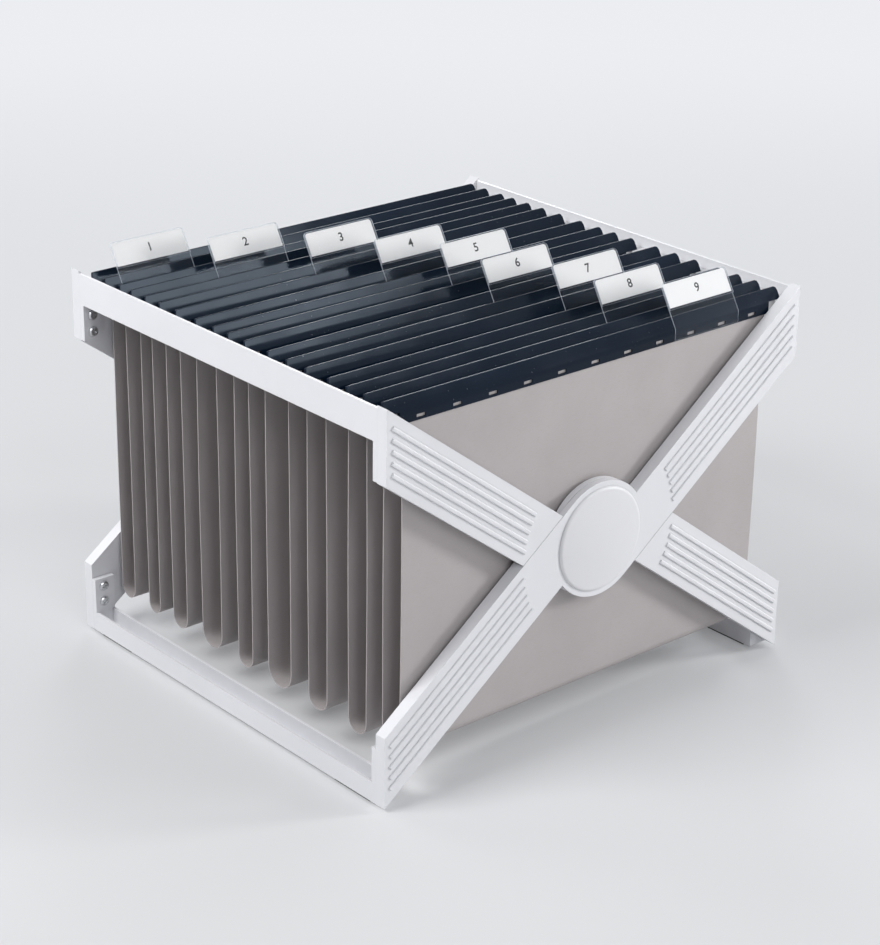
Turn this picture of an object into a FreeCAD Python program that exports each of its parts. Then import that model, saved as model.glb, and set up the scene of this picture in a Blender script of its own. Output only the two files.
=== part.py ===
import FreeCAD, Part
import Sketcher
import os

# Folding X-frame with nine hanging pockets, each held open by two plastic top strips.
# X runs along the rails, Y from the front rail to the rear rail, Z up, in millimetres.
# The origin lies on the floor, under the middle of the object.

SIZES = {
    # Folding frame
    "frame_depth": 364.0,
    "frame_width": 338.0,
    "arm_rise": 136.0,
    "arm_width": 40.5,
    "arm_thickness": 9.0,
    "lap_gap": 0.3,
    # Raised ribs on the outer face of each half arm
    "rib_count": 5,
    "rib_pitch": 6.05,
    "rib_width": 3.0,
    "rib_rise": 1.1,
    "rib_circle": 67.4,
    "rib_end_margin": 4.0,
    # Hub: a domed cap outside, a headed pivot pin from inside
    "cap_radius": 36.5,
    "cap_rim": 2.2,
    "cap_crown": 3.6,
    "cap_bevel": 1.2,
    "cap_floor": 0.8,
    "boss_radius": 12.0,
    "boss_play": 0.1,
    "pin_radius": 6.0,
    "pin_running_fit": 0.05,
    "pin_head_radius": 10.0,
    "pin_head_height": 2.0,
    "pin_head_play": 0.3,
    # Rails that carry the hooks
    "rail_width": 13.5,
    "rail_height": 14.0,
    "rail_wall": 2.0,
    "ledge_drop": 10.2,
    "flange_drop": 2.0,
    "flange_thickness": 2.0,
    # Foot bars that tie the arms at the bottom
    "bar_width": 16.0,
    "bar_height": 14.0,
    "bar_wall": 2.0,
    # End plates of rails and bars, and the screws that hold them to the arms
    "plate_thickness": 4.0,
    "plate_length": 40.0,
    "screw_radius": 2.0,
    "screw_head_radius": 3.5,
    "screw_head_height": 2.0,
    "screw_depth": 6.5,
    "screw_inset": 7.0,
    "screw_drop": 8.0,
    "screw_spacing": 12.0,
    # Rubber pads under the foot bars
    "pad_length": 36.0,
    "pad_width": 12.0,
    "pad_height": 2.5,
    "pad_inset": 8.0,
    "peg_radius": 2.5,
    "peg_play": 0.1,
    # Top strip: a leaning roof above an upright leg
    "tip_gap": 6.0,
    "notch_gap": 5.5,
    "hook_gap": 0.15,
    "roof_slant": 9.3,
    "roof_tilt": 30.3,
    "roof_wall": 1.6,
    "leg_height": 8.3,
    "leg_thickness": 2.6,
    "groove_width": 0.9,
    "groove_roof": 1.2,
    "tip_round": 3.0,
    # Slots that the index tabs hook into
    "slot_count": 11,
    "slot_pitch": 29.25,
    "slot_length": 7.0,
    "slot_height": 2.2,
    "slot_lift": 2.8,
    # Pocket sheet
    "sheet_thickness": 0.8,
    "pocket_depth": 238.0,
    "pocket_inset": 3.0,
    "pocket_corner": 5.0,
    # Clear index tab and its paper card
    "tab_length": 60.4,
    "tab_play": 0.05,
    "tab_ply": 0.6,
    "skirt_height": 7.6,
    "sleeve_lift": 3.6,
    "sleeve_height": 18.6,
    "sleeve_ply": 0.5,
    "sleeve_side": 0.9,
    "sleeve_floor": 0.7,
    "card_slot": 0.5,
    "card_thickness": 0.4,
    "card_play": 0.2,
    "lug_play": 0.3,
    # Folders from the left end: the spacing of each folder's two ridges
    "end_clearance": 1.6,
    "mouth_1": 15.6,
    "mouth_2": 13.4,
    "mouth_3": 16.4,
    "mouth_4": 22.1,
    "mouth_5": 15.8,
    "mouth_6": 24.6,
    "mouth_7": 19.3,
    "mouth_8": 18.0,
    "mouth_9": 17.0,
}

FOLDERS = 9
# How the rail length that the mouths leave over is shared among the gaps between folders
GAP_SHARES = (12.0, 11.1, 12.6, 13.1, 12.0, 12.9, 15.1, 11.2)
# The first of the two slots that each folder's tab hooks into, counted from the front
TAB_SLOTS = (1, 3, 5, 6, 7, 7, 8, 8, 9)

# Formulas of bare size names, which size() turns into formulas that read the sheet
ARM_ANGLE = "atan2(arm_rise; frame_depth / 2)"
ARM_COS = "cos(%s)" % ARM_ANGLE
ARM_SIN = "sin(%s)" % ARM_ANGLE
HUB_HEIGHT = "(pad_height + arm_rise)"
INNER_FACE = "(frame_width / 2 - arm_thickness)"
HALF_LAP = "(arm_thickness / 2 - lap_gap / 2)"
TILT_COS = "cos(roof_tilt * 1deg)"
TILT_SIN = "sin(roof_tilt * 1deg)"
ROOF_WIDTH = "(roof_slant * %s)" % TILT_SIN
ROOF_DROP = "(roof_slant * %s)" % TILT_COS
LEDGE_HEIGHT = "(%s + arm_rise - ledge_drop)" % HUB_HEIGHT
RIDGE_HEIGHT = "(%s + hook_gap + %s)" % (LEDGE_HEIGHT, ROOF_DROP)
STRIP_REACH = "(frame_depth / 2 - flange_thickness - tip_gap)"
LEG_REACH = "(frame_depth / 2 - rail_width - notch_gap)"
SLOT_DROP = "(%s + leg_height - slot_lift)" % ROOF_DROP
GROOVE_MIDDLE = "(%s - leg_thickness / 2)" % ROOF_WIDTH

doc = FreeCAD.newDocument("HangingFileFrame")
sheet = doc.addObject("Spreadsheet::Sheet", "Sizes")
for row, (alias, value) in enumerate(SIZES.items(), start=1):
    sheet.set("A%d" % row, alias)
    sheet.set("B%d" % row, str(value))
    sheet.setAlias("B%d" % row, alias)
doc.recompute()


def size(formula):
    """The same formula with each size name read from the sheet."""
    parts = []
    word = ""
    for letter in str(formula) + " ":
        if letter.isalnum() or letter == "_":
            word += letter
            continue
        parts.append("Sizes." + word if word in SIZES else word)
        parts.append(letter)
        word = ""
    return "".join(parts).strip()


def number(formula):
    """Value of a formula at the present sizes."""
    result = sheet.evalExpression(size(formula))
    return float(getattr(result, "Value", result))


def new_body(name):
    """A body whose label is its node's name."""
    body = doc.addObject("PartDesign::Body", name)
    body.Label = name
    return body


def place(item, x=0, y=0, z=0):
    for axis, formula in (("x", x), ("y", y), ("z", z)):
        item.setExpression("Placement.Base." + axis, size(formula))


def new_sketch(body, role, offset=None):
    """Sketch on one of the body's own planes, moved along its normal by a formula."""
    plane = next(item for item in body.Origin.OriginFeatures if item.Role == role)
    sketch = body.newObject("Sketcher::SketchObject", body.Name + "_sketch")
    sketch.AttachmentSupport = [(plane, "")]
    sketch.MapMode = "FlatFace"
    if offset is not None:
        sketch.setExpression("AttachmentOffset.Base.z", size(offset))
    return sketch


def hold(sketch, kind, geometry, point, formula):
    """Keep one coordinate of a point at a formula, from the sketch's origin."""
    constraint = Sketcher.Constraint(kind, -1, 1, geometry, point, number(formula))
    index = sketch.addConstraint(constraint)
    sketch.setExpression("Constraints[%d]" % index, size(formula))


def add_polygon(sketch, points):
    """Closed outline with each corner held by a pair of formulas."""
    corners = [FreeCAD.Vector(number(u), number(v), 0) for u, v in points]
    first = sketch.GeometryCount
    for here, there in zip(corners, corners[1:] + corners[:1]):
        sketch.addGeometry(Part.LineSegment(here, there))
    for index, (u, v) in enumerate(points):
        line = first + index
        following = first + (index + 1) % len(points)
        sketch.addConstraint(Sketcher.Constraint("Coincident", line, 2, following, 1))
        hold(sketch, "DistanceX", line, 1, u)
        hold(sketch, "DistanceY", line, 1, v)


def add_rectangle(sketch, left, right, low, high):
    add_polygon(sketch, [(left, low), (right, low), (right, high), (left, high)])


def add_circle(sketch, u, v, radius):
    """Circle with its centre and radius held by formulas."""
    centre = FreeCAD.Vector(number(u), number(v), 0)
    circle = sketch.addGeometry(Part.Circle(centre, FreeCAD.Vector(0, 0, 1), number(radius)))
    hold(sketch, "DistanceX", circle, 3, u)
    hold(sketch, "DistanceY", circle, 3, v)
    index = sketch.addConstraint(Sketcher.Constraint("Radius", circle, number(radius)))
    sketch.setExpression("Constraints[%d]" % index, size(radius))


def pad(body, sketch, length, reverse=False, both=False):
    feature = body.newObject("PartDesign::Pad", body.Name + "_pad")
    feature.Profile = sketch
    feature.setExpression("Length", size(length))
    feature.Reversed = reverse
    feature.Midplane = both
    return feature


def cut(body, sketch, length, reverse=False, both=False):
    feature = body.newObject("PartDesign::Pocket", body.Name + "_cut")
    feature.Profile = sketch
    feature.setExpression("Length", size(length))
    feature.Reversed = reverse
    feature.Midplane = both
    return feature


def turn(body, sketch):
    """Full turn about the sketch's own horizontal axis."""
    feature = body.newObject("PartDesign::Revolution", body.Name + "_turn")
    feature.Profile = sketch
    feature.ReferenceAxis = (sketch, ["H_Axis"])
    feature.Angle = 360
    return feature


def group(name, items):
    """Several separate solids of one kind under one node name."""
    compound = doc.addObject("Part::Compound", name)
    compound.Label = name
    compound.Links = items
    return compound


# Arms

def along_arm(lean, distance, offset):
    """Point at a distance from the hub along a half arm and an offset to its open side.

    lean is (1 or -1, 1 or -1): the half arm rises to the rear (1, 1), falls to the
    front (-1, -1), rises to the front (-1, 1) or falls to the rear (1, -1). The body of
    each half arm lies on one side of the line through the hub.
    """
    rear, up = lean
    y = "%d * ((%s) * %s + (%s) * %s)" % (rear, distance, ARM_COS, offset, ARM_SIN)
    z = "%d * ((%s) * %s - (%s) * %s)" % (up, distance, ARM_SIN, offset, ARM_COS)
    return y, z


def half_arm_outline(lean):
    """From the hub along the straight edge, down the upright end, back to the hub circle."""
    rear, up = lean
    end_y = "%d * frame_depth / 2" % rear
    return [
        ("0", "0"),
        (end_y, "%d * arm_rise" % up),
        (end_y, "%d * (arm_rise - arm_width / %s)" % (up, ARM_COS)),
        along_arm(lean, "0", "arm_width"),
    ]


def add_ribs(sketch, lean):
    """Ribs from the circle about the hub to a margin short of the arm's upright end."""
    for index in range(int(number("rib_count"))):
        middle = "(arm_width / 2 + (%s) * rib_pitch)" % (index - (number("rib_count") - 1) / 2)
        start = "sqrt(rib_circle * rib_circle - %s * %s)" % (middle, middle)
        stop = "((frame_depth / 2 - rib_end_margin - %s * %s) / %s)" % (middle, ARM_SIN, ARM_COS)
        near = "(%s - rib_width / 2)" % middle
        far = "(%s + rib_width / 2)" % middle
        add_polygon(sketch, [
            along_arm(lean, start, near), along_arm(lean, stop, near),
            along_arm(lean, stop, far), along_arm(lean, start, far)])


def add_lap_band(sketch, lean):
    """Band along the crossing arm, wide enough for it and a gap each side."""
    wide = "(arm_width + lap_gap)"
    reach = "(2 * arm_width)"
    add_polygon(sketch, [
        along_arm(lean, reach, wide), along_arm(lean, reach, "-" + wide),
        along_arm(lean, "-" + reach, "-" + wide), along_arm(lean, "-" + reach, wide)])


def screw_levels(at_rail):
    """Heights of an end plate's two screws above the hub."""
    if at_rail:
        first = "(arm_rise - ledge_drop - rail_height - screw_drop)"
        return [first, "(%s - screw_spacing)" % first]
    first = "(bar_height + screw_drop - arm_rise)"
    return [first, "(%s + screw_spacing)" % first]


def add_screw_circles(sketch, rear, at_rail, radius):
    y = "%d * (frame_depth / 2 - screw_inset)" % rear
    for level in screw_levels(at_rail):
        add_circle(sketch, y, level, radius)


def make_arm(name, side, rear, carries_cap):
    """One bar of the cross, from its top end at the rear (1) or front (-1) to its foot.

    Each half of the bar lies on one side of the line through the hub, so that the two
    arms of a side fold flat beside each other. At the hub both are half as thick: the
    one that carries the cap keeps its outer half, the crossing one its inner half.
    """
    inward = side > 0
    outward = side < 0
    upper, lower = (rear, 1), (-rear, -1)
    crossing = (-rear, 1)
    body = new_body(name)
    place(body, x="%d * %s" % (side, INNER_FACE), z=HUB_HEIGHT)
    for lean in (upper, lower):
        outline = new_sketch(body, "YZ_Plane")
        add_polygon(outline, half_arm_outline(lean))
        pad(body, outline, "arm_thickness", reverse=outward)
    hub = new_sketch(body, "YZ_Plane")
    add_circle(hub, 0, 0, "arm_width")
    pad(body, hub, "arm_thickness", reverse=outward)

    lap_start = "0" if carries_cap else "%d * %s" % (side, HALF_LAP)
    band = new_sketch(body, "YZ_Plane", lap_start)
    add_lap_band(band, crossing)
    cut(body, band, "(arm_thickness / 2 + lap_gap / 2)", reverse=inward)

    bore = new_sketch(body, "YZ_Plane")
    if carries_cap:
        add_circle(bore, 0, 0, "(boss_radius + boss_play)")
    else:
        add_circle(bore, 0, 0, "(pin_radius + pin_running_fit)")
    cut(body, bore, "arm_thickness", reverse=inward)
    if not carries_cap:
        recess = new_sketch(body, "YZ_Plane")
        add_circle(recess, 0, 0, "(pin_head_radius + pin_head_play)")
        cut(body, recess, "(pin_head_height + lap_gap)", reverse=inward)

    holes = new_sketch(body, "YZ_Plane")
    add_screw_circles(holes, rear, True, "screw_radius")
    add_screw_circles(holes, -rear, False, "screw_radius")
    cut(body, holes, "screw_depth", reverse=inward)

    ribs = new_sketch(body, "YZ_Plane", "%d * arm_thickness" % side)
    for lean in (upper, lower):
        add_ribs(ribs, lean)
    pad(body, ribs, "rib_rise", reverse=outward)
    return body


# Hub

def make_cap(name, side):
    """Domed disc with a boss that passes through the outer arm and grips the pin."""
    body = new_body(name)
    place(body, x="%d * frame_width / 2" % side, z=HUB_HEIGHT)
    profile = new_sketch(body, "XY_Plane")
    points = [
        ("-" + HALF_LAP, "pin_radius"), ("-" + HALF_LAP, "boss_radius"),
        ("0", "boss_radius"), ("0", "cap_radius"),
        ("cap_rim - cap_bevel", "cap_radius"), ("cap_rim", "cap_radius - cap_bevel"),
        ("cap_crown", "0"), ("cap_floor", "0"), ("cap_floor", "pin_radius")]
    add_polygon(profile, [("%d * (%s)" % (side, x), r) for x, r in points])
    turn(body, profile)
    return body


def make_pin(name, side):
    """Headed pin: the head sits in the inner arm, the tip in the cap's boss."""
    body = new_body(name)
    place(body, x="%d * %s" % (side, INNER_FACE), z=HUB_HEIGHT)
    profile = new_sketch(body, "XY_Plane")
    tip = "arm_thickness + cap_floor / 2"
    points = [
        ("0", "0"), (tip, "0"), (tip, "pin_radius"), ("pin_head_height", "pin_radius"),
        ("pin_head_height", "pin_head_radius"), ("0", "pin_head_radius")]
    add_polygon(profile, [("%d * (%s)" % (side, x), r) for x, r in points])
    turn(body, profile)
    return body


# Rails and foot bars

def add_end_plates(body, rear, low, high, width):
    """Plates that close both ends of a rail or bar and carry the screws."""
    edges = ["%d * (frame_depth / 2 - %s)" % (rear, width), "%d * frame_depth / 2" % rear]
    for side in (1, -1):
        plate = new_sketch(body, "YZ_Plane", "%d * %s" % (side, INNER_FACE))
        add_rectangle(plate, edges[0], edges[1], low, high)
        pad(body, plate, "plate_thickness", reverse=side > 0)


def make_rail(name, rear):
    """Channel with a ledge for the hooks and a low flange behind them."""
    body = new_body(name)
    place(body, z=HUB_HEIGHT)
    top = "(arm_rise - ledge_drop)"
    low = "(%s - rail_height)" % top
    section = new_sketch(body, "YZ_Plane")
    points = [
        ("0", low), ("0", "(arm_rise - flange_drop)"),
        ("flange_thickness", "(arm_rise - flange_drop)"), ("flange_thickness", top),
        ("rail_width", top), ("rail_width", low),
        ("rail_width - rail_wall", low), ("rail_width - rail_wall", top + " - rail_wall"),
        ("rail_wall", top + " - rail_wall"), ("rail_wall", low)]
    add_polygon(section, [("%d * (frame_depth / 2 - (%s))" % (rear, y), z) for y, z in points])
    pad(body, section, "2 * " + INNER_FACE, both=True)
    add_end_plates(body, rear, "(%s - plate_length)" % top, top, "rail_width")
    holes = new_sketch(body, "YZ_Plane")
    add_screw_circles(holes, rear, True, "screw_radius")
    cut(body, holes, "2 * frame_width", both=True)
    return body


def pad_centre(side, rear):
    x = "%d * (%s - pad_inset - pad_length / 2)" % (side, INNER_FACE)
    y = "%d * (frame_depth / 2 - bar_width / 2)" % rear
    return x, y


def make_bar(name, rear):
    """Channel open at the top that ties the two arms' feet, with holes for the pads."""
    body = new_body(name)
    place(body, z=HUB_HEIGHT)
    low = "(0 - arm_rise)"
    top = "(bar_height - arm_rise)"
    floor = "(bar_wall - arm_rise)"
    section = new_sketch(body, "YZ_Plane")
    points = [
        ("0", low), ("0", top), ("bar_wall", top), ("bar_wall", floor),
        ("bar_width - bar_wall", floor), ("bar_width - bar_wall", top),
        ("bar_width", top), ("bar_width", low)]
    add_polygon(section, [("%d * (frame_depth / 2 - (%s))" % (rear, y), z) for y, z in points])
    pad(body, section, "2 * " + INNER_FACE, both=True)
    add_end_plates(body, rear, low, "(plate_length - arm_rise)", "bar_width")
    holes = new_sketch(body, "YZ_Plane")
    add_screw_circles(holes, rear, False, "screw_radius")
    cut(body, holes, "2 * frame_width", both=True)
    pegs = new_sketch(body, "XY_Plane", low)
    for side in (1, -1):
        x, y = pad_centre(side, rear)
        add_circle(pegs, x, y, "(peg_radius + peg_play)")
    cut(body, pegs, "(2 * bar_wall)", reverse=True)
    return body


# Screws and pads, as groups of separate solids

def cylinder(name, radius, height, direction=None):
    shape = doc.addObject("Part::Cylinder", name)
    shape.setExpression("Radius", size(radius))
    shape.setExpression("Height", size(height))
    if direction is not None:
        turned = FreeCAD.Rotation(FreeCAD.Vector(0, 0, 1), direction)
        shape.Placement = FreeCAD.Placement(FreeCAD.Vector(), turned)
    return shape


def fuse(name, base, tool):
    joined = doc.addObject("Part::Fuse", name)
    joined.Base = base
    joined.Tool = tool
    return joined


def make_screws(name, rear):
    """Two pan-head screws through each end plate of a frame's rail and foot bar."""
    screws = []
    seat = "(%s - plate_thickness)" % INNER_FACE
    places = [(rear, level) for level in screw_levels(True)]
    places += [(-rear, level) for level in screw_levels(False)]
    for side in (1, -1):
        outward = FreeCAD.Vector(side, 0, 0)
        for end, level in places:
            shank = cylinder(name + "_shank", "screw_radius",
                             "(plate_thickness + screw_depth)", outward)
            head = cylinder(name + "_head", "screw_head_radius",
                            "screw_head_height", outward * -1)
            for item in (shank, head):
                place(item, x="%d * %s" % (side, seat),
                      y="%d * (frame_depth / 2 - screw_inset)" % end,
                      z="%s + %s" % (HUB_HEIGHT, level))
            screws.append(fuse(name + "_screw", shank, head))
    return group(name, screws)


def make_pads(name, rear):
    """Rubber pads under a foot bar, each with a peg in the bar's floor."""
    pads = []
    for side in (1, -1):
        x, y = pad_centre(side, rear)
        block = doc.addObject("Part::Box", name + "_block")
        block.setExpression("Length", size("pad_length"))
        block.setExpression("Width", size("pad_width"))
        block.setExpression("Height", size("pad_height"))
        place(block, x=x + " - pad_length / 2", y=y + " - pad_width / 2")
        peg = cylinder(name + "_peg", "peg_radius", "bar_wall")
        place(peg, x=x, y=y, z="pad_height")
        pads.append(fuse(name + "_pad", block, peg))
    return group(name, pads)


# Folders

def gap_before(index):
    """Share of the free rail length that lies left of a folder."""
    return sum(GAP_SHARES[:index - 1]) / sum(GAP_SHARES)


def ridge_place(index, front):
    """Place along the rails of a folder's rear or front ridge."""
    start = "(end_clearance + roof_wall * %s - %s)" % (TILT_COS, INNER_FACE)
    mouths = ["mouth_%d" % number_ for number_ in range(1, FOLDERS + 1)]
    free = "(2 * %s - 2 * end_clearance - roof_wall * %s - %s - (%s))" % (
        INNER_FACE, TILT_COS, ROOF_WIDTH, " + ".join(mouths))
    passed = mouths[:index if front else index - 1]
    return "%s + %r * %s + %s" % (start, gap_before(index), free, " + ".join(passed) or "0")


def on_slope(distance, depth):
    """Point up the roof's slope from its lower edge, and outward from its face."""
    x = "(%s - (%s) * %s + (%s) * %s)" % (ROOF_WIDTH, distance, TILT_SIN, depth, TILT_COS)
    z = "((%s) * %s + (%s) * %s - %s)" % (distance, TILT_COS, depth, TILT_SIN, ROOF_DROP)
    return x, z


def at_crease(depth):
    """Corner where a sheet at a depth outside the strip bends from leg to roof."""
    x = "(%s + %s)" % (ROOF_WIDTH, depth)
    z = "((%s) * tan(roof_tilt * 0.5deg) - %s)" % (depth, ROOF_DROP)
    return x, z


def make_strip(name, index, front):
    """Plastic top strip: its roof runs on past the leg as the two hooks."""
    body = new_body(name)
    place(body, x=ridge_place(index, front), z=RIDGE_HEIGHT)
    leg_foot = "(0 - %s - leg_height)" % ROOF_DROP
    groove_top = "(0 - %s - groove_roof)" % ROOF_DROP
    leg_back = "(%s - leg_thickness)" % ROOF_WIDTH
    groove_near = "(%s - groove_width / 2)" % GROOVE_MIDDLE
    groove_far = "(%s + groove_width / 2)" % GROOVE_MIDDLE
    inner_crease = "(0 - roof_wall * %s - (%s + roof_wall * %s) / %s * %s)" % (
        TILT_SIN, leg_back, TILT_COS, TILT_SIN, TILT_COS)
    section = new_sketch(body, "XZ_Plane")
    add_polygon(section, [
        ("0", "0"), (ROOF_WIDTH, "0 - " + ROOF_DROP), (ROOF_WIDTH, leg_foot),
        (groove_far, leg_foot), (groove_far, groove_top),
        (groove_near, groove_top), (groove_near, leg_foot),
        (leg_back, leg_foot), (leg_back, inner_crease),
        ("0 - roof_wall * " + TILT_COS, "0 - roof_wall * " + TILT_SIN)])
    pad(body, section, "2 * " + STRIP_REACH, both=True)

    ends = new_sketch(body, "YZ_Plane")
    for end in (1, -1):
        add_rectangle(ends, "%d * %s" % (end, LEG_REACH), "%d * (%s + 1)" % (end, STRIP_REACH),
                      leg_foot + " - 1", "0 - " + ROOF_DROP)
        add_polygon(ends, [
            ("%d * (%s - tip_round)" % (end, STRIP_REACH), "1"),
            ("%d * (%s - tip_round)" % (end, STRIP_REACH), "0"),
            ("%d * (%s - 0.3 * tip_round)" % (end, STRIP_REACH), "0 - 0.3 * tip_round"),
            ("%d * %s" % (end, STRIP_REACH), "0 - tip_round"),
            ("%d * (%s + 1)" % (end, STRIP_REACH), "0 - tip_round"),
            ("%d * (%s + 1)" % (end, STRIP_REACH), "1")])
    cut(body, ends, "4 * roof_slant", both=True)

    slots = new_sketch(body, "YZ_Plane", GROOVE_MIDDLE)
    for slot in range(1, int(number("slot_count")) + 1):
        middle = "(%d - (slot_count + 1) / 2) * slot_pitch" % slot
        add_rectangle(slots, middle + " - slot_length / 2", middle + " + slot_length / 2",
                      "0 - %s - slot_height / 2" % SLOT_DROP,
                      "0 - %s + slot_height / 2" % SLOT_DROP)
    cut(body, slots, "leg_thickness", reverse=True)
    return body


def make_pocket(name, index):
    """Folded sheet whose two top edges sit in the grooves of the folder's strips."""
    body = new_body(name)
    place(body, x=ridge_place(index, False), z=RIDGE_HEIGHT)
    left = "(%s - sheet_thickness / 2)" % GROOVE_MIDDLE
    right = "(%s + mouth_%d + sheet_thickness / 2)" % (GROOVE_MIDDLE, index)
    top = "(0 - %s - groove_roof)" % ROOF_DROP
    low = "(0 - %s - pocket_depth)" % ROOF_DROP
    bend = "sheet_thickness * (sqrt(2) - 1)"
    section = new_sketch(body, "XZ_Plane")
    add_polygon(section, [
        (left, top), (left, low + " + pocket_corner"), (left + " + pocket_corner", low),
        (right + " - pocket_corner", low), (right, low + " + pocket_corner"), (right, top),
        (right + " - sheet_thickness", top),
        (right + " - sheet_thickness", low + " + pocket_corner + " + bend),
        (right + " - pocket_corner - " + bend, low + " + sheet_thickness"),
        (left + " + pocket_corner + " + bend, low + " + sheet_thickness"),
        (left + " + sheet_thickness", low + " + pocket_corner + " + bend),
        (left + " + sheet_thickness", top)])
    pad(body, section, "2 * (%s - pocket_inset)" % LEG_REACH, both=True)
    return body


def tab_place(index):
    return "(%d - slot_count / 2) * slot_pitch" % TAB_SLOTS[index - 1]


SLEEVE_START = "(roof_slant + sleeve_lift)"
SLEEVE_TOP = "(%s + sleeve_height)" % SLEEVE_START
SLEEVE_THICKNESS = "(2 * sleeve_ply + card_slot)"


def make_tab(name, index):
    """Clear tab: skirt with two lugs, a leaning front and a sleeve for the card."""
    body = new_body(name)
    place(body, x=ridge_place(index, True), y=tab_place(index), z=RIDGE_HEIGHT)
    skirt_foot = "(0 - %s - skirt_height)" % ROOF_DROP
    outer = "(tab_play + tab_ply)"
    sleeve_face = "(tab_play + %s)" % SLEEVE_THICKNESS
    section = new_sketch(body, "XZ_Plane")
    add_polygon(section, [
        ("(%s + tab_play)" % ROOF_WIDTH, skirt_foot),
        ("(%s + %s)" % (ROOF_WIDTH, outer), skirt_foot),
        at_crease(outer), on_slope(SLEEVE_START, outer),
        on_slope(SLEEVE_START, sleeve_face), on_slope(SLEEVE_TOP, sleeve_face),
        on_slope(SLEEVE_TOP, "tab_play"), at_crease("tab_play")])
    pad(body, section, "tab_length", both=True)

    cavity = new_sketch(body, "XZ_Plane")
    floor = "(%s + sleeve_floor)" % SLEEVE_START
    over = "(%s + 1)" % SLEEVE_TOP
    back = "(tab_play + sleeve_ply)"
    front = "(%s + card_slot)" % back
    add_polygon(cavity, [
        on_slope(floor, back), on_slope(floor, front), on_slope(over, front),
        on_slope(over, back)])
    cut(body, cavity, "(tab_length - 2 * sleeve_side)", both=True)

    lugs = new_sketch(body, "YZ_Plane", "(%s + %s)" % (ROOF_WIDTH, outer))
    for end in (1, -1):
        middle = "%d * slot_pitch / 2" % end
        reach = "(slot_length / 2 - lug_play)"
        rise = "(slot_height / 2 - lug_play)"
        add_rectangle(lugs, "%s - %s" % (middle, reach), "%s + %s" % (middle, reach),
                      "0 - %s - %s" % (SLOT_DROP, rise), "%s - %s" % (rise, SLOT_DROP))
    pad(body, lugs, "(%s + (leg_thickness - groove_width) / 2)" % outer, reverse=True)
    return body


def make_card(name, index):
    """Paper card in the tab's sleeve."""
    body = new_body(name)
    place(body, x=ridge_place(index, True), y=tab_place(index), z=RIDGE_HEIGHT)
    low = "(%s + sleeve_floor)" % SLEEVE_START
    high = "(%s - card_play)" % SLEEVE_TOP
    back = "(tab_play + sleeve_ply + (card_slot - card_thickness) / 2)"
    front = "(%s + card_thickness)" % back
    section = new_sketch(body, "XZ_Plane")
    add_polygon(section, [
        on_slope(low, back), on_slope(low, front), on_slope(high, front),
        on_slope(high, back)])
    pad(body, section, "(tab_length - 2 * sleeve_side - 2 * card_play)", both=True)
    return body


def make_frame():
    """The two crossing frames. The rear one carries the caps and pins."""
    return [
        make_arm("arm_rear_right", 1, 1, True),
        make_arm("arm_rear_left", -1, 1, True),
        make_cap("hub_cap_right", 1),
        make_cap("hub_cap_left", -1),
        group("hub_pins", [make_pin("pin_right", 1), make_pin("pin_left", -1)]),
        make_rail("rear_rail", 1),
        make_bar("front_foot_bar", -1),
        make_screws("rear_frame_screws", 1),
        make_pads("front_foot_pads", -1),
        make_arm("arm_front_right", 1, -1, False),
        make_arm("arm_front_left", -1, -1, False),
        make_rail("front_rail", -1),
        make_bar("rear_foot_bar", 1),
        make_screws("front_frame_screws", -1),
        make_pads("rear_foot_pads", 1),
    ]


def make_folder(index):
    return [
        make_pocket("pocket_%d" % index, index),
        make_strip("rear_strip_%d" % index, index, False),
        make_strip("front_strip_%d" % index, index, True),
        make_tab("index_tab_%d" % index, index),
        make_card("label_card_%d" % index, index),
    ]


def check_and_export(nodes):
    doc.recompute()
    for item in doc.Objects:
        bad = [state for state in item.State if state in ("Invalid", "Error")]
        if bad:
            raise RuntimeError("%s is %s" % (item.Name, bad))
    os.makedirs("parts", exist_ok=True)
    for node in nodes:
        if node.Shape.isNull() or not node.Shape.isValid() or not node.Shape.Solids:
            raise RuntimeError("%s has no sound solid" % node.Label)
    for node in nodes:
        node.Shape.exportStep("parts/%s.step" % node.Label)
        print("%-20s %2d solid(s) %12.1f mm3" % (
            node.Label, len(node.Shape.Solids), node.Shape.Volume))


all_nodes = make_frame()
for folder in range(1, FOLDERS + 1):
    all_nodes += make_folder(folder)
check_and_export(all_nodes)
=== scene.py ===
import math

import bmesh
import bpy
from mathutils import Matrix, Vector


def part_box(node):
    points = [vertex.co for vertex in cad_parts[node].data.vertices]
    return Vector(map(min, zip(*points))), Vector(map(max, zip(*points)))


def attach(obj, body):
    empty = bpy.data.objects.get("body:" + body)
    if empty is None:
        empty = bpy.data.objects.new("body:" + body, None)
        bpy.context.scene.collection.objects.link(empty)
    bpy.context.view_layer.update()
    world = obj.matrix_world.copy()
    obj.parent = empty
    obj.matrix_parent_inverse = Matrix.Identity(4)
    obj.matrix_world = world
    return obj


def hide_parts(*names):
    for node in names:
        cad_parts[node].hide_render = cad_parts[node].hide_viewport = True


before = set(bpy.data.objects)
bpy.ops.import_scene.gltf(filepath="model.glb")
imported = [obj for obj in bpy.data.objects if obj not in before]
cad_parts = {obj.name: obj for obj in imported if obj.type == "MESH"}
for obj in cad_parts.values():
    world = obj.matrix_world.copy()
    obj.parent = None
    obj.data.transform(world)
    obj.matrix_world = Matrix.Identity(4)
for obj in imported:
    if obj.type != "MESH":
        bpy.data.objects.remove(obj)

bl_info = {
    "name": "Hanging File Box",
    "version": (1, 0, 0),
    "blender": (4, 5, 0),
    "location": "3D View > Sidebar > File Box",
    "description": "Folding cross-armed file frame with hanging folders, tabs and labels",
    "category": "Object",
}

MM = 0.001
QUARTER = math.radians(90.0)
WHITE = (1.0, 1.0, 1.0)
FOLDERS = range(1, 10)
SIDES = {"right": 1, "left": -1}

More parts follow.
